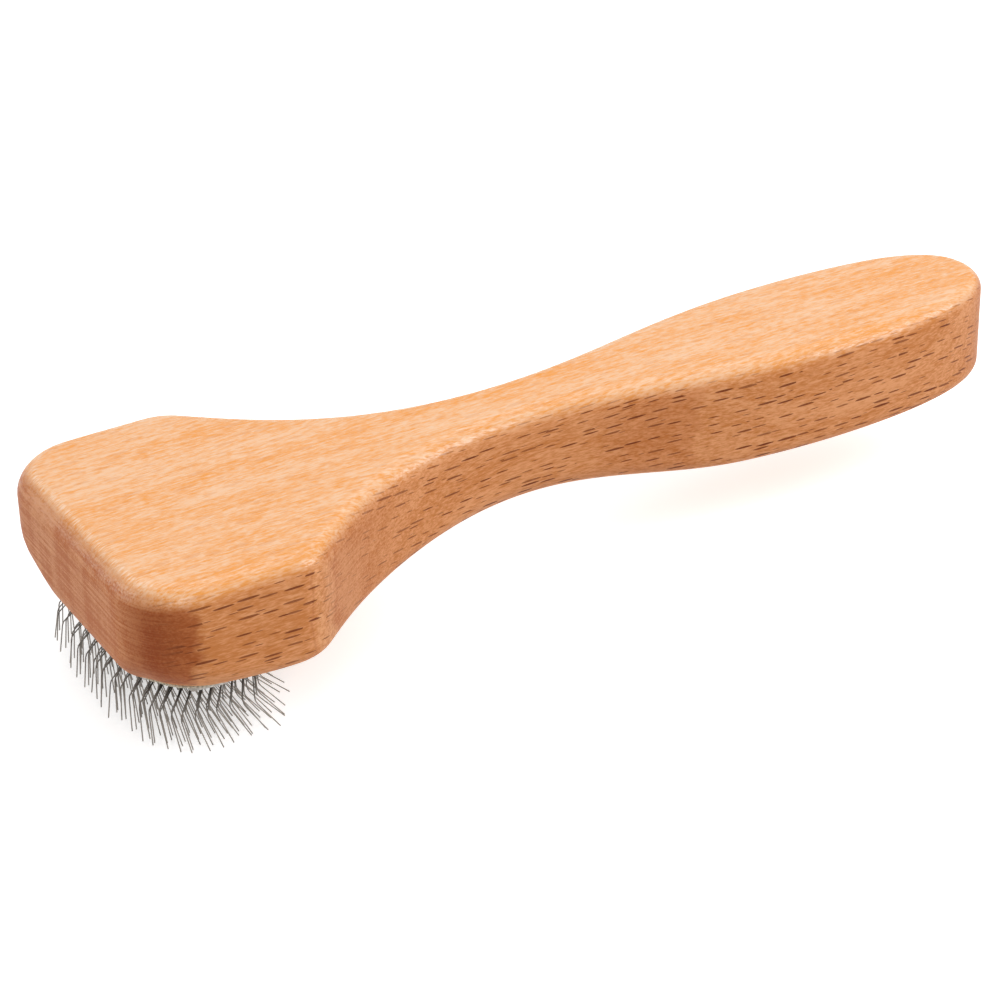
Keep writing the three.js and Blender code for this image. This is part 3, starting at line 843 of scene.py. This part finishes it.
# The pale colour is partly sanding and partly a painted highlight, where a facet would catch the light.
SANDED_HIGHLIGHT_COLOUR = (0.86, 0.46, 0.23, 1)
SANDED_HIGHLIGHT_EDGE = 0.8
SANDED_HIGHLIGHT_LEAST = 0.05
SANDED_HIGHLIGHT_SPREAD = 0.45
SCRATCHES = {"stretch": (1.4, 1.4, 1.4), "detail": 4.0, "roughness": 0.7}
SCRATCH_CONTRAST = (0.4, 0.7)
SEAM_COLOUR = (0.42, 0.13, 0.045, 1)
SEAM_WIDTH = 0.3
SEAM_STRENGTH = 0.3


def shoulder_sanding_and_highlight(tree, place, upright, colour):
    """Sanding scratches and a painted highlight pale the shoulder's sides, with a thin seam at each end.
    """
    first, last = SHOULDER_SEAMS
    middle, reach = (first + last) / 2, (last - first) / 2
    along = wavy_along(tree, place, **SHOULDER_WAVES)
    off_middle = calculate(tree, "ABSOLUTE", calculate(tree, "SUBTRACT", along, middle))
    scratches = ease(tree, noise(tree, place, **SCRATCHES), *SCRATCH_CONTRAST)
    inside = ease(tree, off_middle, reach, reach - SANDED_HIGHLIGHT_EDGE)
    sanded_highlight = product(tree, inside, upright, multiply_add(tree, scratches, SANDED_HIGHLIGHT_SPREAD, SANDED_HIGHLIGHT_LEAST))
    colour = mix_colour(tree, sanded_highlight, colour, SANDED_HIGHLIGHT_COLOUR)
    off_seam = calculate(tree, "ABSOLUTE", calculate(tree, "SUBTRACT", off_middle, reach))
    seam = product(tree, ease(tree, off_seam, SEAM_WIDTH, 0.0), upright, SEAM_STRENGTH)
    return mix_colour(tree, seam, colour, SEAM_COLOUR)


# %% Painted shade on the handle's sides
# A stretch of painted shade, where the sides turn from the neck to the handle.
HANDLE_SHADE_COLOUR = (0.9, 0.83, 0.77, 1)
HANDLE_SHADE_SPAN = (FRONT / MM + 68, FRONT / MM + 85)
HANDLE_SHADE_FADE_IN = 9
HANDLE_SHADE_FADE_OUT = 1
HANDLE_SHADE_WAVES = {"stretch": (0.2, 0.2, 0.25), "reach": 7.0, "detail": 2.0}


def handle_shade_streak(tree, place, upright, colour):
    """Painted shade on the handle's sides, soft towards the neck and sharper towards the tail."""
    first, last = HANDLE_SHADE_SPAN
    along = wavy_along(tree, place, **HANDLE_SHADE_WAVES)
    begun = ease(tree, along, first, first + HANDLE_SHADE_FADE_IN)
    ended = ease(tree, along, last - HANDLE_SHADE_FADE_OUT, last + HANDLE_SHADE_FADE_OUT)
    inside = calculate(tree, "SUBTRACT", begun, ended, clamp=True)
    return mix_colour(tree, product(tree, inside, upright), colour, HANDLE_SHADE_COLOUR, "MULTIPLY")


# %% The front edge: wear and a painted highlight
WORN_GLINT_COLOUR = (0.93, 0.72, 0.57, 1)
# The strokes are partly wear and partly a painted highlight, the glint of light on the edge.
WORN_GLINT_STRENGTH = 0.5
WORN_GLINT_FROM = (0.15, 0.3)
WORN_GLINT_TO = (0.65, 0.35)
WORN_GLINT_SIDE_TURN = (0.3, 0.12)
STROKES = {"stretch": (0.35, 4.5, 0.6), "detail": 3.0}
STROKE_CONTRAST = (0.48, 0.64)


def worn_and_glinting_front_edge(tree, grain, facing, colour):
    """Pale strokes along the fibre at the front's top edge: sanding wear and a painted highlight."""
    forward = calculate(tree, "MULTIPLY", facing.outputs["X"], -1.0)
    band = product(tree, ease(tree, forward, *WORN_GLINT_FROM), ease(tree, forward, *WORN_GLINT_TO))
    ahead = ease(tree, calculate(tree, "ABSOLUTE", facing.outputs["Y"]), *WORN_GLINT_SIDE_TURN)
    strokes = ease(tree, noise(tree, grain, **STROKES), *STROKE_CONTRAST)
    share = product(tree, band, ahead, strokes, WORN_GLINT_STRENGTH)
    return mix_colour(tree, share, colour, WORN_GLINT_COLOUR)


# %% [markdown]
# ## The beech finish
# Grain, marks and rays come together here. What a face shows depends on how it lies to the log: long
# grain on top and sides, end grain in front. The face's own direction tells them apart, so one material
# serves the whole wood, and gives flat faces paler colours, partly a painted sheen. The top is the most
# polished: there a clear coat lies over it, broken by pores.

# %% Which way a face looks
DOWNWARD_TURN = (-0.6, -0.97)
FLAT_TURN = (0.25, 0.85)
LEVEL_TURN = (0.2, 0.6)
END_TURN = (0.3, 0.85)


def face_shares(tree, facing):
    """Flat for top and underside, upright for the walls, end where a face looks along the fibre."""
    height = facing.outputs["Z"]
    downward = ease(tree, height, *DOWNWARD_TURN)
    flat = calculate(tree, "MAXIMUM", ease(tree, height, *FLAT_TURN), downward)
    level = calculate(tree, "MAXIMUM", ease(tree, height, *LEVEL_TURN), downward)
    upright = calculate(tree, "SUBTRACT", 1.0, level)
    end = ease(tree, calculate(tree, "ABSOLUTE", facing.outputs["X"]), *END_TURN)
    return flat, upright, end


# %% The colour of the grain and the rays
# Flat faces get the paler pair: partly the wood's own colour, partly a painted sheen of white light.
SIDE_COLOURS = ((0.52, 0.178, 0.045, 1), (0.72, 0.322, 0.14, 1))
TOP_COLOURS_WITH_SHEEN = ((0.79, 0.315, 0.07, 1), (0.83, 0.52, 0.315, 1))
END_COLOURS = ((0.39, 0.1, 0.015, 1), (0.58, 0.25, 0.105, 1))
RAY_COLOUR = (0.15, 0.028, 0.002, 1)
FLECK_COLOUR = (0.66, 0.25, 0.07, 1)
DASH_LEAST = 0.65
DASH_SPREAD = 0.35
FLECK_STRENGTH = 0.3


def grain_colour(tree, layers, flat, end):
    """A dark and a pale colour, mixed by the long grain on sides and top and by the end grain in front."""
    long_grain = weighted(tree, layers, LONG_GRAIN)
    side = mix_colour(tree, long_grain, *SIDE_COLOURS)
    top = mix_colour(tree, long_grain, *TOP_COLOURS_WITH_SHEEN)
    front = mix_colour(tree, weighted(tree, layers, END_GRAIN), *END_COLOURS)
    return mix_colour(tree, end, mix_colour(tree, flat, side, top), front)


def add_rays(tree, grain, flat, end, colour):
    """Dark dashes on the sides and soft flecks on flat faces; gives the colour and the dashes."""
    rays, draw = ray_mask(tree, grain)
    side = calculate(tree, "SUBTRACT", 1.0, calculate(tree, "MAXIMUM", flat, end), clamp=True)
    dashes = product(tree, rays, side, multiply_add(tree, draw, DASH_SPREAD, DASH_LEAST))
    flecks = product(tree, rays, flat, FLECK_STRENGTH)
    colour = mix_colour(tree, dashes, colour, RAY_COLOUR)
    return mix_colour(tree, flecks, colour, FLECK_COLOUR), dashes


# %% Beech on the wood
POLISH_TURN = (0.1, 0.6)
POLISH_GAPS = (0.3, 0.7)
COAT_LEAST = 0.05
COAT_SPREAD = 0.6
COAT_ROUGHNESS = 0.18
WOOD_ROUGHNESS = 0.45
PORE_ROUGHNESS = 0.2
WOOD_SPECULAR = 0.15
DASH_DEPTH = 0.6
GRAIN_RELIEF = 0.03 * MM


def beech_finish():
    """Grain, marks and rays make the colour, pores and dashes the relief, and polish a coat on the top."""
    material, tree, surface, place, coordinates = new_finish("oiled_beech")
    grain = log_directions(tree, place)
    facing = shader_node(tree, "SeparateXYZ", Vector=coordinates.outputs["Normal"])
    flat, upright, end = face_shares(tree, facing)
    layers = grain_layers(tree, grain, place)
    colour = grain_colour(tree, layers, flat, end)
    # Painted shade at the corners and on the handle; painted highlights at the shoulder and the front
    # edge.
    colour = oil_and_shade_corners(tree, place, facing, upright, colour)
    colour = shoulder_sanding_and_highlight(tree, place, upright, colour)
    colour = handle_shade_streak(tree, place, upright, colour)
    colour = worn_and_glinting_front_edge(tree, grain, facing, colour)
    colour, dashes = add_rays(tree, grain, flat, end, colour)
    looks_up = ease(tree, facing.outputs["Z"], *POLISH_TURN)
    polish = product(tree, looks_up, ease(tree, layers["vessels"], *POLISH_GAPS))
    set_inputs(
        tree,
        surface,
        Base_Color=colour,
        Roughness=multiply_add(tree, layers["pores"], PORE_ROUGHNESS, WOOD_ROUGHNESS),
        Specular_IOR_Level=WOOD_SPECULAR,
        Coat_Weight=multiply_add(tree, polish, COAT_SPREAD, COAT_LEAST),
        Coat_Roughness=COAT_ROUGHNESS,
    )
    relief = calculate(tree, "SUBTRACT", layers["pores"], product(tree, dashes, DASH_DEPTH))
    bumped(tree, surface, relief, GRAIN_RELIEF)
    return material


dress(wood, beech_finish())

# %% [markdown]
# ## Felt, cloth and rubber
# The pad is seen only from below. Felt is a mat of short fibres, so fine noise with much detail is enough.
# The cloth is a coarse plain weave: two sets of waves that pass over and under each other. The rubber
# is dull and dusty, with a slight unevenness.

# %% Felt
FELT_COLOUR = (0.47, 0.43, 0.36, 1)
FELT_FIBRE_COLOUR = (0.6, 0.56, 0.49, 1)
FELT_FIBRES = {"stretch": (3.5, 3.5, 3.5), "detail": 6.0, "roughness": 0.7}
FELT_ROUGHNESS = 0.95
FELT_SHEEN = 0.3
FELT_RELIEF = 0.1 * MM


def felt_finish():
    """Fibres as fine noise, in colour and relief, with the soft sheen of wool."""
    material, tree, surface, place, _ = new_finish("wool_felt")
    fibres = noise(tree, place, **FELT_FIBRES)
    colour = mix_colour(tree, fibres, FELT_COLOUR, FELT_FIBRE_COLOUR)
    set_inputs(tree, surface, Base_Color=colour, Roughness=FELT_ROUGHNESS, Sheen_Weight=FELT_SHEEN)
    bumped(tree, surface, fibres, FELT_RELIEF)
    return material


dress(felt_pad, felt_finish())

# %% Cloth
THREAD_COLOUR = (0.64, 0.58, 0.46, 1)
THREAD_GAP_COLOUR = (0.38, 0.33, 0.24, 1)
THREAD_PITCH = 0.55
THREAD_FIBRES = {"stretch": (9.0, 9.0, 9.0), "detail": 3.0}
FIBRE_SHARE = 0.35
THREAD_CONTRAST = (0.35, 1.1)
CLOTH_ROUGHNESS = 0.9
THREAD_RELIEF = 0.12 * MM


def cloth_finish():
    """Plain weave: one wave along X and one along Y, and the taller of the two is the thread on top."""
    material, tree, surface, place, _ = new_finish("foundation_canvas")
    parts = shader_node(tree, "SeparateXYZ", Vector=place)
    rate = math.pi / THREAD_PITCH
    waves = []
    for axis, other in (("X", "Y"), ("Y", "X")):
        across = calculate(tree, "SINE", product(tree, parts.outputs[axis], rate))
        along = calculate(tree, "COSINE", product(tree, parts.outputs[other], rate))
        waves.append(calculate(tree, "ABSOLUTE", product(tree, across, along)))
    weave = calculate(tree, "MAXIMUM", *waves)
    fibres = noise(tree, place, **THREAD_FIBRES)
    height = calculate(tree, "ADD", weave, product(tree, fibres, FIBRE_SHARE))
    colour = mix_colour(tree, ease(tree, height, *THREAD_CONTRAST), THREAD_GAP_COLOUR, THREAD_COLOUR)
    set_inputs(tree, surface, Base_Color=colour, Roughness=CLOTH_ROUGHNESS)
    bumped(tree, surface, height, THREAD_RELIEF)
    return material


dress(pad_cloth, cloth_finish())

# %% Rubber
RUBBER_COLOUR = (0.075, 0.07, 0.066, 1)
RUBBER_DUST_COLOUR = (0.17, 0.16, 0.15, 1)
RUBBER_DUST = {"stretch": (0.9, 0.9, 0.9), "detail": 5.0, "roughness": 0.65}
DUST_CONTRAST = (0.35, 0.8)
RUBBER_ROUGHNESS = 0.7
RUBBER_RELIEF = 0.06 * MM


def rubber_finish():
    """Dust as noise over the dark rubber, and the same noise as its unevenness."""
    material, tree, surface, place, _ = new_finish("pad_rubber")
    dust = noise(tree, place, **RUBBER_DUST)
    colour = mix_colour(tree, ease(tree, dust, *DUST_CONTRAST), RUBBER_COLOUR, RUBBER_DUST_COLOUR)
    set_inputs(tree, surface, Base_Color=colour, Roughness=RUBBER_ROUGHNESS)
    bumped(tree, surface, dust, RUBBER_RELIEF)
    return material


dress(rubber_face, rubber_finish())

# %% [markdown]
# ## Steel
# The pins are hard-drawn wire, dull grey with small spots, and darker towards the rubber: painted shade
# under the head. The staples are the same kind of steel, a little brighter and smoother. Both are metals:
# their look is what they reflect.

# %% Steel on the wires
WIRE_COLOUR = (0.4, 0.36, 0.32, 1)
# Towards the rubber the wires get darker: painted shade under the head.
WIRE_SPOT_AND_SHADE_COLOUR = (0.1, 0.088, 0.078, 1)
WIRE_ROUGHNESS = 0.3
SHADED_HEIGHTS = (1.5, 7.5)
UNSHADED_LEAST = 0.6
UNSHADED_SPREAD = 0.4
STEEL_SPOTS = {"stretch": (1.3, 1.3, 0.5), "detail": 3.0}
SPOT_CONTRAST = (0.3, 0.7)
SPOT_ROUGHNESS = 0.2


def steel_finish(name, bright, dark, roughness, shaded_heights=None):
    """Metal with small spots of colour; between two heights painted shade may darken it to its root."""
    material, tree, surface, place, _ = new_finish(name)
    spots = noise(tree, place, **STEEL_SPOTS)
    share = ease(tree, spots, *SPOT_CONTRAST)
    if shaded_heights:
        height = shader_node(tree, "SeparateXYZ", Vector=place).outputs["Z"]
        unshaded = ease(tree, height, *reversed(shaded_heights))
        share = product(tree, multiply_add(tree, share, UNSHADED_SPREAD, UNSHADED_LEAST), unshaded)
    colour = mix_colour(tree, share, dark, bright)
    roughness = multiply_add(tree, spots, SPOT_ROUGHNESS, roughness)
    set_inputs(tree, surface, Base_Color=colour, Metallic=1, Roughness=roughness)
    return material


dress(wires, steel_finish("drawn_wire", WIRE_COLOUR, WIRE_SPOT_AND_SHADE_COLOUR, WIRE_ROUGHNESS, SHADED_HEIGHTS))

# %% [markdown]
# ## The staples
# Ten staples hold the cloth's margin. The model's own staples have the right shape, but at the front
# corners the margin is lifted onto the rounded wood, and the staples must go with it. So each is copied.
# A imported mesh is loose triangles, which numpy welds by finding the corners that are the same.

# %% Seat the staples
STAPLE_COLOUR = (0.44, 0.42, 0.39, 1)
STAPLE_DARK_COLOUR = (0.22, 0.2, 0.18, 1)
STAPLE_ROUGHNESS = 0.22
WELD_DIGITS = 7

staple_steel = steel_finish("staple_wire", STAPLE_COLOUR, STAPLE_DARK_COLOUR, STAPLE_ROUGHNESS)


def seat_staple(name, node):
    """The model's staple, welded, and lifted with the cloth where the wood at its crown is rounded."""
    corners = np.empty(3 * len(node.data.vertices))
    node.data.vertices.foreach_get("co", corners)
    triangles = np.empty(len(node.data.loops), np.int32)
    node.data.loops.foreach_get("vertex_index", triangles)
    points, same = np.unique(corners.reshape(-1, 3).round(WELD_DIGITS), axis=0, return_inverse=True)
    faces = same.reshape(-1)[triangles].reshape(-1, 3).tolist()
    piece = add_piece("seated_" + name, on_the_wood(points), faces, [name])
    piece.data.polygons.foreach_set("use_smooth", np.zeros(len(faces), bool))
    dress(piece, staple_steel)
    return piece


staples = [seat_staple(name, node) for name, node in sorted(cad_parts.items()) if "staple" in name]
print("staples", len(staples))

# %% [markdown]
# ## Floor, light and background
# The photo's wood is bright on top and on both flanks, and darkest where it faces the camera. So soft
# boxes stand above, to the left and to the right, and the weakest on the camera's side, to open the shade.
# The floor is pale. It shows the camera a little extra brightness, so it turns white round the shadow.

# %% The floor
FLOOR_SIZE = 6.0
FLOOR_COLOUR = (0.8, 0.8, 0.8, 1)
FLOOR_LIFT = 0.55
WHITE = (1, 1, 1, 1)


def seen_directly(tree):
    """One for rays from the camera and for those that metal or glass sends on."""
    path = shader_node(tree, "LightPath")
    seen = calculate(tree, "MAXIMUM", path.outputs["Is Camera Ray"], path.outputs["Is Glossy Ray"])
    return calculate(tree, "MAXIMUM", seen, path.outputs["Is Transmission Ray"])


def floor_finish():
    """Matt and pale, and lifted by some light of its own for what is seen directly."""
    material = bpy.data.materials.new("pale_floor")
    material.use_nodes = True
    tree = material.node_tree
    surface = tree.nodes["Principled BSDF"]
    lift = product(tree, seen_directly(tree), FLOOR_LIFT)
    set_inputs(tree, surface, Base_Color=FLOOR_COLOUR, Roughness=1, Specular_IOR_Level=0)
    set_inputs(tree, surface, Emission_Color=WHITE, Emission_Strength=lift)
    return material


def make_floor():
    """A square at the height of the wires' cut tips."""
    edge = FLOOR_SIZE / 2
    corners = [(-edge, -edge, 0), (edge, -edge, 0), (edge, edge, 0), (-edge, edge, 0)]
    mesh = bpy.data.meshes.new("floor")
    mesh.from_pydata(corners, [], [(0, 1, 2, 3)])
    floor = bpy.data.objects.new("floor", mesh)
    bpy.context.scene.collection.objects.link(floor)
    dress(floor, floor_finish())


make_floor()

# %% The soft boxes and the world
AMBIENT = 0.2
SOFT_BOXES = {
    "top_box": {"from": (0.25, 0.35, 1.0), "size": (0.7, 0.7), "power": 2.4},
    "left_box": {"from": (-0.85, 0.55, 0.4), "size": (0.5, 0.5), "power": 2.0},
    "right_box": {"from": (0.66, -0.44, 0.61), "size": (0.36, 0.4), "power": 3.0},
    "front_box": {"from": (-0.4, -0.6, 0.8), "size": (0.4, 0.4), "power": 1.7},
}
BOX_DISTANCE = 0.75


def add_soft_box(name, toward, size, power):
    """A rectangular area lamp that looks at the brush from a direction."""
    data = bpy.data.lights.new(name, "AREA")
    data.shape = "RECTANGLE"
    data.size, data.size_y = size
    data.energy = power
    lamp = bpy.data.objects.new(name, data)
    bpy.context.scene.collection.objects.link(lamp)
    direction = Vector(toward).normalized()
    lamp.location = direction * BOX_DISTANCE
    lamp.rotation_mode = "QUATERNION"
    lamp.rotation_quaternion = direction.to_track_quat("Z", "Y")


def make_world():
    """White to the camera, and a soft even light for everything else."""
    world = bpy.data.worlds.new("studio")
    world.use_nodes = True
    tree = world.node_tree
    strength = multiply_add(tree, seen_directly(tree), 1 - AMBIENT, AMBIENT)
    set_inputs(tree, tree.nodes["Background"], Color=WHITE, Strength=strength)
    bpy.context.scene.world = world


for name, box in SOFT_BOXES.items():
    add_soft_box(name, box["from"], box["size"], box["power"])
make_world()
bpy.context.scene.view_settings.view_transform = "Standard"
print("lamps", sorted(SOFT_BOXES))
